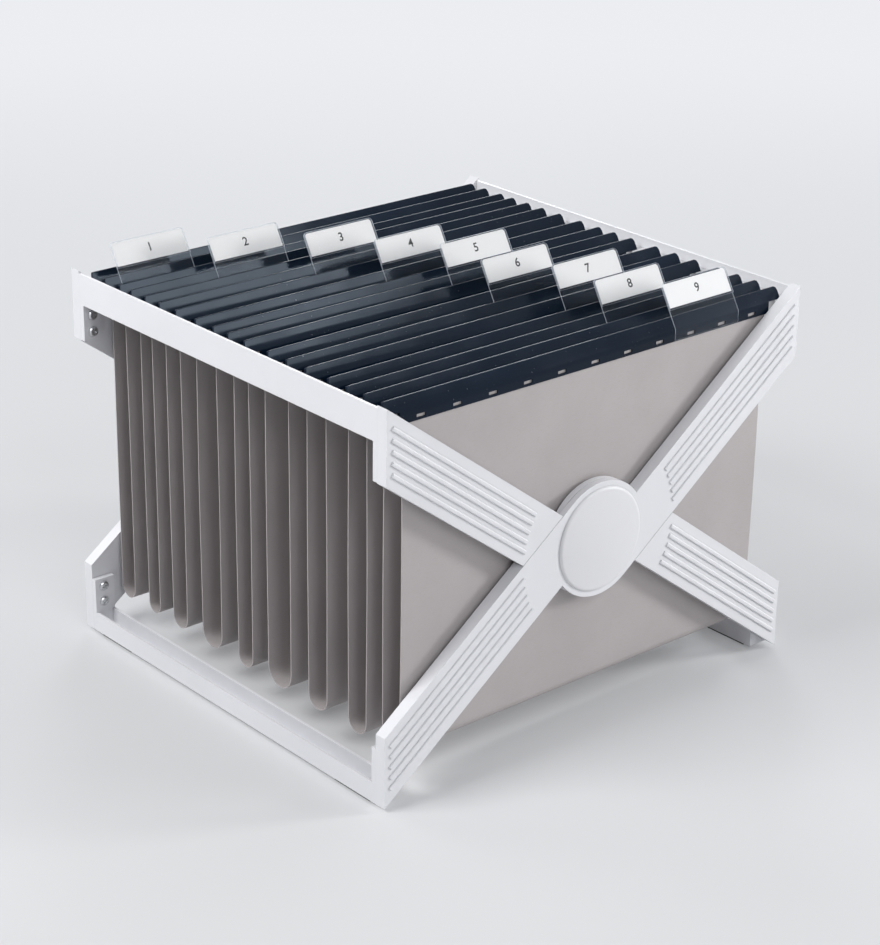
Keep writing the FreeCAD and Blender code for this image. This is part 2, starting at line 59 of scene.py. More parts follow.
# Reach of a test for a place in a mesh, and of a merge of doubled points
CLOSE = 0.05 * MM
MERGE = 0.001 * MM

# Hub cap: radii about the hub's axis, and heights and depths from the plate's face
CAP_RADIUS = 36.5 * MM
CAP_EDGE = 1.75 * MM
CAP_CROWN = 3.6 * MM
BOSS_RADIUS = 12.0 * MM
BOSS_DEPTH = 4.35 * MM
BORE_RADIUS = 6.0 * MM
BORE_END = 0.8 * MM
RIM_STEPS = 8
DOME_STEPS = 12

# Screws: how far out their heads sit, inset from the corners of the group's box,
# pitch of a pair, and turn of the recess from one screw to the next
SCREW_SEAT = 156.0 * MM
SCREW_INSET = 3.5 * MM
SCREW_PITCH = 12.0 * MM
SCREW_SLACK = math.radians(23.0)

# Folded sheet: wall of the frame's solid, thinner board that stays inside it when
# it bows, straight part at the top, and rows and columns of its grid
SHEET_WALL = 0.8 * MM
BOARD = 0.85 * SHEET_WALL
SHEET_HEM = 22.0 * MM
SHEET_ROWS = 22
SHEET_COLUMNS = 26
FOLD_STEPS = 14

# Strip: tilt, length and drop of its roof, and what tells its ridge's edges apart
ROOF_TILT = math.radians(30.3)
ROOF_SLOPE = 9.3 * MM
ROOF_DROP = ROOF_SLOPE * math.cos(ROOF_TILT)
RIDGE_DEPTH = 0.95 * MM
RIDGE_REACH = 171.5 * MM
RIDGE_SHORTEST = 100.0 * MM

# Straight down, seen from the roof's slope: along the strip, up the slope, outward
DOWN = Vector((0.0, -math.cos(ROOF_TILT), -math.sin(ROOF_TILT)))

# Tab: its length, the sleeve's foot and top up the roof's slope, and its welds
TAB_LENGTH = 60.4 * MM
SLEEVE_FOOT = 12.9 * MM
SLEEVE_TOP = 31.5 * MM
TAB_WELD = 0.9 * MM

# Layers of the tab and its label, as distances off the roof
TAB_BACK = (0.05 * MM, 0.55 * MM)
TAB_GAP = (0.55 * MM, 1.05 * MM)
TAB_FRONT = (1.05 * MM, 1.55 * MM)
CARD_LAYER = (0.62 * MM, 0.975 * MM)
INK_LAYER = 0.985 * MM

# Skirt and lugs: how far they reach down the strip's leg, and where the lugs sit
SKIRT_DROP = 7.6 * MM
LUG_DROP = 5.5 * MM
LUG_SIZE = (6.2 * MM, 1.4 * MM, 0.8 * MM)
LUG_RAISED = 0.2 * MM
LUG_SUNK = 0.36 * MM
SLOT_PITCH = 29.25 * MM

# Label: how far it stays inside the tab, and how its digit is set
CARD_SIDE = 1.1 * MM
CARD_FOOT = 1.3 * MM
CARD_TOP = 0.8 * MM
CARD_CORNER = 0.6 * MM
DIGIT_SHARE = 0.72
DIGIT_RISE = 0.6 * MM
STROKE_WEIGHT = 0.15 * MM
INK_DEPTH = 0.008 * MM

# Share of what lies behind the tab that its walls and its edges cover; the edges' high
# share, with their lighter tint, is a painted highlight
WALL_COVER = 0.025
EDGE_HIGHLIGHT_COVER = 0.6

# Surround that the camera sees past the object
SURROUND = (0.95, 0.965, 1.0, 1.0)
SURROUND_LEVEL = 0.88

# Floor: its width, and how it turns into the surround further out
FLOOR_WIDTH = 14.0
FADE_START = 0.35
FADE_END = 1.9
FADE_NEAR = 0.2

# Lights: name, place, width, height, the setting with their power, colour
LAMPS = (
    ("Key light", (1.1, 1.55, 0.6), 0.35, 0.45, "key_power", (1.0, 0.99, 0.975)),
    ("Main light", (-0.3, -1.35, 1.45), 0.9, 0.7, "main_power", WHITE),
    ("Fill light", (1.5, -0.45, 1.2), 0.8, 0.8, "fill_power", (0.98, 0.99, 1.0)),
    ("Back light", (-0.2, 1.3, 1.6), 1.0, 0.2, "back_power", WHITE),
    ("Ridge light", (-1.5, 1.3, 0.95), 0.6, 0.5, "ridge_power", (0.92, 0.96, 1.0)),
    ("Sheen light", (0.85, 0.66, 1.03), 0.36, 0.3, "sheen_power", (0.95, 0.98, 1.0)),
    ("Left light", (-1.5, -0.5, 1.0), 0.8, 0.8, "left_power", WHITE),
)
LAMP_TARGET = (0.0, 0.0, 0.15)

# Camera: place in metres, turn in degrees
CAMERA_PLACE = (1.22375, -1.06047, 0.81725)
CAMERA_TURN = (66.993, -0.8205, 49.2304)


class FrameLook(bpy.types.PropertyGroup):
    """Sizes and colours of the folding frame."""

    plastic_colour: bpy.props.FloatVectorProperty(
        name="Frame Colour", description="Moulded plastic of arms, rails and foot bars",
        subtype="COLOR", size=3, min=0.0, max=1.0, default=(0.76, 0.765, 0.795))
    cap_colour: bpy.props.FloatVectorProperty(
        name="Cap Colour", description="Moulded plastic of the hub caps",
        subtype="COLOR", size=3, min=0.0, max=1.0, default=(0.745, 0.745, 0.77))
    edge_round: bpy.props.FloatProperty(
        name="Edge Rounding", description="Rounding of the frame's moulded edges",
        subtype="DISTANCE", unit="LENGTH", min=0.0001, max=0.001, default=0.0004)
    rib_round: bpy.props.FloatProperty(
        name="Rib Rounding", description="Rounding along the top of each arm's ribs",
        subtype="DISTANCE", unit="LENGTH", min=0.0002, max=0.0010, default=0.0009)
    cap_round: bpy.props.FloatProperty(
        name="Cap Rim Rounding", description="How far the cap's rim curves inwards",
        subtype="DISTANCE", unit="LENGTH", min=0.0004, max=0.006, default=0.0028)


class FolderLook(bpy.types.PropertyGroup):
    """Sizes and colours of the hanging folders."""

    strip_colour: bpy.props.FloatVectorProperty(
        name="Strip Colour", description="Glossy plastic of the top strips",
        subtype="COLOR", size=3, min=0.0, max=1.0, default=(0.002, 0.006, 0.014))
    sheet_colour: bpy.props.FloatVectorProperty(
        name="Sheet Colour", description="Pressed board of the folded sheets",
        subtype="COLOR", size=3, min=0.0, max=1.0, default=(0.425, 0.394, 0.394))
    tab_colour: bpy.props.FloatVectorProperty(
        name="Tab Tint", description="Tint of the clear tabs",
        subtype="COLOR", size=3, min=0.0, max=1.0, default=(0.36, 0.39, 0.44))
    card_colour: bpy.props.FloatVectorProperty(
        name="Label Colour", description="Paper of the labels",
        subtype="COLOR", size=3, min=0.0, max=1.0, default=(0.89, 0.893, 0.9))
    corner_radius: bpy.props.FloatProperty(
        name="Corner Radius", description="Rounded upper corners of tabs and labels",
        subtype="DISTANCE", unit="LENGTH", min=0.0005, max=0.006, default=0.0028)
    digit_height: bpy.props.FloatProperty(
        name="Digit Height", description="Height of the printed digits",
        subtype="DISTANCE", unit="LENGTH", min=0.002, max=0.012, default=0.0062)
    ridge_round: bpy.props.FloatProperty(
        name="Ridge Rounding", description="Rounded ridge along the top of each strip",
        subtype="DISTANCE", unit="LENGTH", min=0.0002, max=0.00075, default=0.0007)
    sheet_bow: bpy.props.FloatProperty(
        name="Sheet Bow", description="How far the sheets belly out halfway down",
        subtype="DISTANCE", unit="LENGTH", min=0.0, max=0.002, default=0.0004)


class StageLook(bpy.types.PropertyGroup):
    """Floor, lights and camera."""

    floor_colour: bpy.props.FloatVectorProperty(
        name="Floor Colour", description="Plain pale floor",
        subtype="COLOR", size=3, min=0.0, max=1.0, default=(0.62, 0.625, 0.635))
    key_power: bpy.props.FloatProperty(
        name="Key Light", description="Power of the low light at the right rear",
        unit="POWER", min=0.0, max=200.0, default=19.0)
    main_power: bpy.props.FloatProperty(
        name="Main Light", description="Power of the large light high before the front",
        unit="POWER", min=0.0, max=200.0, default=26.0)
    fill_power: bpy.props.FloatProperty(
        name="Fill Light", description="Power of the soft light high at the right",
        unit="POWER", min=0.0, max=200.0, default=8.2)
    back_power: bpy.props.FloatProperty(
        name="Back Light", description="Power of the narrow light high behind",
        unit="POWER", min=0.0, max=200.0, default=3.5)
    ridge_power: bpy.props.FloatProperty(
        name="Ridge Light", description="Power of the light at the left rear on the ridges",
        unit="POWER", min=0.0, max=200.0, default=9.0)
    sheen_power: bpy.props.FloatProperty(
        name="Sheen Light", description="Power of the small light mirrored in the strips",
        unit="POWER", min=0.0, max=200.0, default=2.6)
    left_power: bpy.props.FloatProperty(
        name="Left Light", description="Power of the soft light on the left side",
        unit="POWER", min=0.0, max=200.0, default=6.0)
    world_strength: bpy.props.FloatProperty(
        name="World Strength", description="Even light from all round",
        min=0.0, max=2.0, default=0.16)
    lens: bpy.props.FloatProperty(
        name="Focal Length", description="Focal length of the camera in millimetres",
        min=20.0, max=300.0, default=95.334)


# Selection and finishing steps

def only(piece):
    """Make one object the active one and the only one selected."""
    bpy.ops.object.select_all(action="DESELECT")
    piece.select_set(True)
    bpy.context.view_layer.objects.active = piece


def choose(piece, kind, test):
    """In edit mode, select just the vertices, edges or faces that pass a test."""
    bpy.ops.mesh.select_all(action="DESELECT")
    bpy.ops.mesh.select_mode(type=kind)
    mesh = bmesh.from_edit_mesh(piece.data)
    items = {"VERT": mesh.verts, "EDGE": mesh.edges, "FACE": mesh.faces}[kind]
    for item in items:
        item.select_set(bool(test(item)))
    mesh.select_flush_mode()
    bmesh.update_edit_mesh(piece.data)


def add_alone(add, **settings):
    """Add a primitive with nothing else selected, and return its object."""
    bpy.ops.object.select_all(action="DESELECT")
    add(**settings)
    return bpy.context.active_object


def apply_place():
    """Leave the selected object's place, turn and scale in its mesh."""
    bpy.ops.object.transform_apply(location=True, rotation=True, scale=True)


def apply_modifier(piece, kind, **settings):
    """Add a modifier with its settings and apply it."""
    only(piece)
    modifier = piece.modifiers.new(kind.title(), kind)
    for name, value in settings.items():
        setattr(modifier, name, value)
    bpy.ops.object.modifier_apply(modifier=modifier.name)


def round_edges(piece, width, segments=2, angle=30.0):
    """Rounded edges, then normals that keep the flat faces flat."""
    only(piece)
    bpy.ops.object.shade_smooth()
    apply_modifier(piece, "BEVEL", width=width, segments=segments,
                   limit_method="ANGLE", angle_limit=math.radians(angle))
    apply_modifier(piece, "WEIGHTED_NORMAL", weight=80, keep_sharp=True)


def join(name, pieces):
    """Make several pieces one, with a name."""
    bpy.ops.object.select_all(action="DESELECT")
    for piece in pieces:
        piece.select_set(True)
    bpy.context.view_layer.objects.active = pieces[0]
    bpy.ops.object.join()
    pieces[0].name = name
    return pieces[0]


def settle(piece, matrix):
    """Put a piece in its place and leave that place in its mesh."""
    only(piece)
    piece.matrix_world = matrix @ piece.matrix_world
    apply_place()


def another(piece, name, offset):
    """A copy with its own mesh, moved by an offset."""
    only(piece)
    bpy.ops.object.duplicate()
    twin = bpy.context.active_object
    twin.name = name
    twin.parent = None
    bpy.ops.transform.translate(value=offset)
    apply_place()
    return twin


def blank_from(node, name):
    """Clean copy of a frame part's solid, with its flat faces whole again."""
    only(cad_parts[node])
    bpy.ops.object.duplicate()
    piece = bpy.context.active_object
    piece.name = name
    piece.parent = None
    for key in list(piece.keys()):
        del piece[key]
    piece.data.materials.clear()
    bpy.ops.object.mode_set(mode="EDIT")
    bpy.ops.mesh.select_all(action="SELECT")
    bpy.ops.mesh.remove_doubles(threshold=MERGE)
    bpy.ops.mesh.dissolve_limited(angle_limit=math.radians(0.5))
    bpy.ops.object.mode_set(mode="OBJECT")
    return piece


def dress(piece, material, body, slot, *nodes):
    """Material, body and the frame nodes that a piece stands for; the slot is not used."""
    if not piece.data.materials:
        piece.data.materials.append(None)
    piece.data.materials[0] = material
    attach(piece, body)
    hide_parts(*nodes)


# Materials

class Finish:
    """A node material with short ways to add the usual nodes."""

    def __init__(self, name):
        self.material = bpy.data.materials.new(name)
        self.material.use_nodes = True
        self.nodes = self.material.node_tree.nodes
        self.links = self.material.node_tree.links
        self.shader = self.nodes["Principled BSDF"]
        place = self.nodes.new("ShaderNodeTexCoord")
        self.place = place.outputs["Object"]

    def stretched(self, scale):
        """Object coordinates drawn out along the axes whose scale is low."""
        mapping = self.nodes.new("ShaderNodeMapping")
        mapping.inputs["Scale"].default_value = scale
        self.links.new(self.place, mapping.inputs["Vector"])
        return mapping.outputs["Vector"]

    def noise(self, scale, detail=2.0, vector=None, roughness=0.5):
        """Noise with so many turns to the metre."""
        noise = self.nodes.new("ShaderNodeTexNoise")
        noise.inputs["Scale"].default_value = scale
        noise.inputs["Detail"].default_value = detail
        noise.inputs["Roughness"].default_value = roughness
        self.links.new(vector or self.place, noise.inputs["Vector"])
        return noise.outputs["Fac"]

    def between(self, factor, low, high, start=0.3, stop=0.7):
        """Number that runs from low to high as a texture goes from start to stop."""
        reach = self.nodes.new("ShaderNodeMapRange")
        reach.inputs["From Min"].default_value = start
        reach.inputs["From Max"].default_value = stop
        reach.inputs["To Min"].default_value = low
        reach.inputs["To Max"].default_value = high
        self.links.new(factor, reach.inputs["Value"])
        return reach.outputs["Result"]

    def blend(self, factor, first, second):
        """Colour that turns from the first to the second with a factor."""
        mix = self.nodes.new("ShaderNodeMix")
        mix.data_type = "RGBA"
        self.links.new(factor, mix.inputs["Factor"])
        for socket, colour in (("A", first), ("B", second)):
            slot = next(item for item in mix.inputs if item.name == socket
                        and item.type == "RGBA")
            if hasattr(colour, "is_linked"):
                self.links.new(colour, slot)
            else:
                slot.default_value = (*colour, 1.0)
        return next(item for item in mix.outputs if item.type == "RGBA")

    def corner(self, reach):
        """Painted shade: 0 deep in a corner, where shade falls, and 1 on open faces."""
        near = self.nodes.new("ShaderNodeAmbientOcclusion")
        near.samples = 8
        near.inputs["Distance"].default_value = reach
        return near.outputs["AO"]

    def relief(self, height, strength, distance, under=None):
        """Bump from a texture, over the bump that lies under it."""
        bump = self.nodes.new("ShaderNodeBump")
        bump.inputs["Strength"].default_value = strength
        bump.inputs["Distance"].default_value = distance
        self.links.new(height, bump.inputs["Height"])
        if under is not None:
            self.links.new(under, bump.inputs["Normal"])
        return bump.outputs["Normal"]

    def colour(self, source):
        self.links.new(source, self.shader.inputs["Base Color"])

    def roughness(self, source):
        self.links.new(source, self.shader.inputs["Roughness"])

    def normal(self, source):
        self.links.new(source, self.shader.inputs["Normal"])

    def fix(self, socket, value):
        self.shader.inputs[socket].default_value = value


def shade(colour, factor):
    """A lighter or darker version of a colour."""
    return tuple(min(1.0, channel * factor) for channel in colour)


def moulded_plastic(name, colour):
    """Fine spark-eroded grain, faint flow shading, a few scuffs, painted shade in corners.
    """
    look = Finish(name)
    cloud = look.between(look.noise(9.0, 3.0), 0.0, 1.0)
    base = look.blend(cloud, shade(colour, 0.965), shade(colour, 1.03))
    streaks = look.noise(70.0, 6.0, look.stretched((1.0, 0.25, 1.0)), roughness=0.7)
    scuff = look.between(streaks, 0.0, 0.10, start=0.62, stop=0.78)
    scuffed = look.blend(scuff, base, shade(colour, 0.72))
    # Painted shade: colour darkened towards 55% where ambient occlusion finds corners and
    # rib bases
    look.colour(look.blend(look.corner(1.3 * MM), shade(colour, 0.55), scuffed))
    look.roughness(look.between(look.noise(45.0, 4.0), 0.40, 0.52))
    grain = look.relief(look.noise(2600.0), 0.10, 0.04 * MM)
    look.normal(look.relief(look.noise(160.0, 3.0), 0.03, 0.2 * MM, under=grain))
    look.fix("IOR", 1.49)
    return look.material


def black_strip(name, colour):
    """Extruded glossy plastic: faint draw lines, soft haze and specks of dust."""
    look = Finish(name)
    dust_colour = (0.30, 0.32, 0.35)
    haze = look.between(look.noise(26.0, 3.0, look.stretched((1.0, 0.3, 1.0))), 0.0, 1.0)
    base = look.blend(haze, colour, shade(colour, 1.7))
    dust = look.between(look.noise(900.0, 1.0), 0.0, 0.55, start=0.77, stop=0.83)
    look.colour(look.blend(dust, base, dust_colour))
    look.roughness(look.between(look.noise(34.0, 4.0), 0.09, 0.18))
    drawn = look.noise(1500.0, 1.0, look.stretched((1.0, 0.012, 1.0)))
    lines = look.relief(drawn, 0.06, 0.03 * MM)
    waves = look.noise(14.0, 1.0, look.stretched((1.0, 0.5, 1.0)))
    look.normal(look.relief(waves, 0.12, 0.6 * MM, under=lines))
    look.fix("IOR", 1.40)
    look.fix("Specular IOR Level", 0.26)
    look.fix("Specular Tint", (0.76, 0.87, 1.0, 1.0))
    return look.material


def pressed_board(name, colour):
    """Smooth grey board with short fibres and soft mottling."""
    look = Finish(name)
    cloud = look.between(look.noise(16.0, 4.0), 0.0, 1.0)
    base = look.blend(cloud, shade(colour, 0.95), shade(colour, 1.05))
    strands = look.noise(1100.0, 3.0, look.stretched((1.0, 0.22, 1.0)), roughness=0.65)
    fibre = look.between(strands, 0.0, 0.22, start=0.55, stop=0.75)
    look.colour(look.blend(fibre, base, shade(colour, 0.74)))
    look.roughness(look.between(look.noise(60.0, 3.0), 0.42, 0.56))
    felt = look.noise(2200.0, 3.0, look.stretched((1.0, 0.3, 1.0)))
    look.normal(look.relief(felt, 0.12, 0.05 * MM))
    return look.material


def clear_plastic(name, colour, cover):
    """Thin clear plastic with a faint veil, so that what lies behind shows through."""
    look = Finish(name)
    veil = look.between(look.noise(70.0, 3.0), 0.0, 1.0)
    look.colour(look.blend(veil, shade(colour, 0.94), shade(colour, 1.06)))
    look.roughness(look.between(look.noise(120.0, 4.0), 0.05, 0.12))
    look.fix("Alpha", cover)
    look.fix("IOR", 1.49)
    return look.material


def label_paper(name, colour):
    """Uncoated white paper with short fibres."""
    look = Finish(name)
    strands = look.noise(1500.0, 4.0, look.stretched((1.0, 0.4, 1.0)), roughness=0.7)
    fibre = look.between(strands, 0.0, 1.0)
    look.colour(look.blend(fibre, shade(colour, 0.965), colour))
    look.roughness(look.between(look.noise(400.0), 0.72, 0.85))
    look.normal(look.relief(look.noise(2500.0, 3.0), 0.15, 0.04 * MM))
    return look.material


def printing_ink(name):
    """Matt black ink, thinner where the paper's fibres stand up."""
    look = Finish(name)
    full_ink = (0.012, 0.012, 0.014)
    thin_ink = (0.07, 0.07, 0.075)
    thin = look.between(look.noise(3000.0), 0.0, 1.0, start=0.45, stop=0.8)
    look.colour(look.blend(thin, full_ink, thin_ink))
    look.roughness(look.between(look.noise(900.0), 0.55, 0.7))
    return look.material


def zinc_steel(name):
    """Bright zinc plate with turned marks."""
    look = Finish(name)
    dull_zinc = (0.52, 0.53, 0.54)
    bright_zinc = (0.66, 0.67, 0.69)
    cloud = look.between(look.noise(220.0, 4.0), 0.0, 1.0)
    look.colour(look.blend(cloud, dull_zinc, bright_zinc))
    look.roughness(look.between(look.noise(1800.0, 3.0), 0.24, 0.40))
    marks = look.noise(3200.0, 2.0, look.stretched((0.2, 1.0, 1.0)))
    look.normal(look.relief(marks, 0.10, 0.03 * MM))
    look.fix("Metallic", 1.0)
    return look.material


def foot_rubber(name):
    """Matt black rubber with moulding dust in its grain."""
    look = Finish(name)
    rubber = (0.022, 0.022, 0.023)
    dusty_rubber = (0.09, 0.088, 0.085)
    dust = look.between(look.noise(320.0, 5.0), 0.0, 0.5, start=0.5, stop=0.8)
    look.colour(look.blend(dust, rubber, dusty_rubber))
    look.roughness(look.between(look.noise(140.0, 3.0), 0.72, 0.88))
    look.normal(look.relief(look.noise(1400.0, 3.0), 0.30, 0.1 * MM))
    return look.material


# Folding frame

def model_arm(node, body, side, look, material):
    """One arm: half-round ribs, then all other edges eased."""
    arm = blank_from(node, node + "_moulded")
    low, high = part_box(node)
    face = high.x if side > 0 else low.x
    bpy.ops.object.mode_set(mode="EDIT")
    choose(arm, "EDGE", lambda edge: all(
        abs(vertex.co.x - face) < CLOSE for vertex in edge.verts))
    bpy.ops.mesh.bevel(offset=look.rib_round, segments=4, affect="EDGES",
                       clamp_overlap=True)
    bpy.ops.object.mode_set(mode="OBJECT")
    round_edges(arm, look.edge_round, angle=50.0)
    dress(arm, material, body, "frame_plastic", node)


class FILEBOX_OT_arms(bpy.types.Operator):
    """Model the four ribbed arms of the cross"""

    bl_idname = "file_box.arms"
    bl_label = "Arms"

    def execute(self, context):
        look = context.scene.file_box_frame
        material = moulded_plastic("Moulded frame plastic", look.plastic_colour)
        for rise in ("rear", "front"):
            for name, side in SIDES.items():
                model_arm("arm_%s_%s" % (rise, name), rise + "_frame", side, look,
                          material)
        return {"FINISHED"}


def cap_profile(look):
    """Half section of a hub cap, pole to pole: distance out from the plate, radius.

    It runs along the pin's bore and the boss, round the rim and over the dome.
    """
    profile = [(BORE_END, 0.0), (BORE_END, BORE_RADIUS), (-BOSS_DEPTH, BORE_RADIUS),
               (-BOSS_DEPTH, BOSS_RADIUS), (0.0, BOSS_RADIUS)]
    for step in range(RIM_STEPS + 1):
        angle = QUARTER * step / RIM_STEPS
        profile.append((CAP_EDGE * math.sin(angle),
                        CAP_RADIUS - look.cap_round * (1.0 - math.cos(angle))))
    dome = CAP_RADIUS - look.cap_round
    for step in range(1, DOME_STEPS + 1):
        radius = dome * (1.0 - step / DOME_STEPS)
        rise = (CAP_CROWN - CAP_EDGE) * (1.0 - (radius / dome) ** 2)
        profile.append((CAP_EDGE + rise, radius))
    return profile


def model_cap(node, side, look, material):
    """Domed cap spun from its half section about the hub's axis."""
    low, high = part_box(node)
    hub = (low + high) / 2
    face = (high.x - CAP_CROWN) if side > 0 else (low.x + CAP_CROWN)
    profile = cap_profile(look)
    cap = add_alone(bpy.ops.mesh.primitive_plane_add, size=10.0 * MM)
    cap.name = node + "_domed"
    bpy.ops.object.mode_set(mode="EDIT")
    bpy.ops.mesh.select_mode(type="VERT")
    bpy.ops.mesh.select_all(action="SELECT")
    bpy.ops.mesh.merge(type="CENTER")
    bpy.ops.mesh.select_all(action="SELECT")
    here = Vector((side * profile[0][0], 0.0, profile[0][1]))
    bpy.ops.transform.translate(value=here)
    for out, radius in profile[1:]:
        there = Vector((side * out, 0.0, radius))
        bpy.ops.mesh.extrude_region_move(TRANSFORM_OT_translate={"value": there - here})
        here = there
    bpy.ops.mesh.select_all(action="SELECT")
    bpy.ops.mesh.spin(steps=96, angle=math.tau, center=(0.0, 0.0, 0.0),
                      axis=(1.0, 0.0, 0.0))
    bpy.ops.mesh.select_all(action="SELECT")
    bpy.ops.mesh.remove_doubles(threshold=MERGE)
    bpy.ops.mesh.normals_make_consistent(inside=False)
    bpy.ops.object.mode_set(mode="OBJECT")
    settle(cap, Matrix.Translation((face, hub.y, hub.z)))
    bpy.ops.object.shade_smooth_by_angle(angle=math.radians(40.0))
    dress(cap, material, "rear_frame", "cap_plastic", node)


class FILEBOX_OT_hub(bpy.types.Operator):
    """Spin the two domed caps and finish the pins behind them"""

    bl_idname = "file_box.hub"
    bl_label = "Hub"

    def execute(self, context):
        look = context.scene.file_box_frame
        material = moulded_plastic("Moulded cap plastic", look.cap_colour)
        for name, side in SIDES.items():
            model_cap("hub_cap_" + name, side, look, material)
        pins = blank_from("hub_pins", "hub_pins_turned")
        round_edges(pins, 0.3 * MM)
        dress(pins, zinc_steel("Zinc plated pin steel"), "rear_frame", "steel",
              "hub_pins")
        return {"FINISHED"}


class FILEBOX_OT_rails(bpy.types.Operator):
    """Finish the two ledge rails and the two foot bars"""

    bl_idname = "file_box.rails"
    bl_label = "Rails and Foot Bars"

    def execute(self, context):
        look = context.scene.file_box_frame
        material = moulded_plastic("Moulded rail plastic", look.plastic_colour)
        bodies = {"rear_rail": "rear_frame", "front_foot_bar": "rear_frame",
                  "front_rail": "front_frame", "rear_foot_bar": "front_frame"}
        for node, body in bodies.items():
            rail = blank_from(node, node + "_moulded")
            round_edges(rail, look.edge_round)
            dress(rail, material, body, "frame_plastic", node)
        return {"FINISHED"}


def model_screw():
    """Pan-head screw along +X with its head's seat at the origin."""
    head_radius = 3.5 * MM
    head_height = 2.0 * MM
    head_round = 1.2 * MM
    shank_radius = 2.0 * MM
    shank_length = 10.3 * MM
    recess = (2.4 * MM, 0.8 * MM, 4.0 * MM)
    screw = add_alone(
        bpy.ops.mesh.primitive_cylinder_add, vertices=40, radius=head_radius,
        depth=head_height, location=(-head_height / 2, 0.0, 0.0),
        rotation=(0.0, QUARTER, 0.0))
    apply_place()
    bpy.ops.object.mode_set(mode="EDIT")
    choose(screw, "FACE", lambda face: face.normal.x < -0.9)
    bpy.ops.mesh.bevel(offset=head_round, segments=5, affect="EDGES")
    choose(screw, "FACE", lambda face: face.normal.x > 0.9)
    bpy.ops.mesh.inset(thickness=head_radius - shank_radius)
    bpy.ops.mesh.extrude_region_move(
        TRANSFORM_OT_translate={"value": (shank_length, 0.0, 0.0)})
    bpy.ops.mesh.inset(thickness=0.6 * MM, depth=0.15 * MM)
    bpy.ops.object.mode_set(mode="OBJECT")
    for turn in (0.0, QUARTER):
        blade = add_alone(
            bpy.ops.mesh.primitive_cube_add, size=1.0, scale=recess,
            location=(-head_height, 0.0, 0.0), rotation=(turn, 0.0, 0.0))
        apply_place()
        apply_modifier(screw, "BOOLEAN", operation="DIFFERENCE", object=blade,
                       solver="EXACT")
        bpy.data.objects.remove(blade)
    only(screw)
    bpy.ops.object.shade_smooth_by_angle(angle=math.radians(35.0))
    return screw


def place_screws(node, screw):
    """A screw at each of the eight places of a frame's screws."""
    low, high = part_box(node)
    if "rear" in node:
        top_y = high.y - SCREW_INSET
        foot_y = low.y + SCREW_INSET
    else:
        top_y = low.y + SCREW_INSET
        foot_y = high.y - SCREW_INSET
    top_z = high.z - SCREW_INSET
    foot_z = low.z + SCREW_INSET
    spots = [(top_y, top_z), (top_y, top_z - SCREW_PITCH),
             (foot_y, foot_z), (foot_y, foot_z + SCREW_PITCH)]
    screws = []
    for side in SIDES.values():
        around = Matrix.Rotation(0.0 if side > 0 else math.pi, 4, "Z")
        for index, (y, z) in enumerate(spots):
            twin = another(screw, "screw", (0.0, 0.0, 0.0))
            slack = Matrix.Rotation(SCREW_SLACK * index, 4, "X")
            seat = Matrix.Translation((SCREW_SEAT * side, y, z))
            settle(twin, seat @ around @ slack)
            screws.append(twin)
    return join(node + "_pan_heads", screws)


class FILEBOX_OT_fittings(bpy.types.Operator):
    """Model the screws of both frames and the rubber pads under the foot bars"""

    bl_idname = "file_box.fittings"
    bl_label = "Screws and Pads"

    def execute(self, context):
        steel = zinc_steel("Zinc plated screw steel")
        rubber = foot_rubber("Foot rubber")
        screw = model_screw()
        for body in ("rear_frame", "front_frame"):
            node = body + "_screws"
            dress(place_screws(node, screw), steel, body, "steel", node)
        bpy.data.objects.remove(screw)
        pads = {"front_foot_pads": "rear_frame", "rear_foot_pads": "front_frame"}
        for node, body in pads.items():
            pad = blank_from(node, node + "_rounded")
            round_edges(pad, 0.7 * MM, segments=3)
            dress(pad, rubber, body, "foot_rubber", node)
        return {"FINISHED"}


# Folders

def belly(piece, left, right, top, low, bow):
    """Let both walls stand out a little halfway down, unevenly along the folder."""
    unevenness = 0.35
    waves = 19.0
    middle_x = (left + right) / 2
    shift = 40.0 * middle_x
    for vertex in piece.data.vertices:
        depth = (top - vertex.co.z) / (top - low)
        swell = bow * math.sin(math.pi * min(1.0, max(0.0, depth))) ** 2
        uneven = 1.0 + unevenness * math.sin(waves * vertex.co.y + shift)
        reach = abs(vertex.co.x - middle_x) / (0.5 * (right - left))
        side = 1.0 if vertex.co.x > middle_x else -1.0
        vertex.co.x += side * min(1.0, reach) * swell * uneven


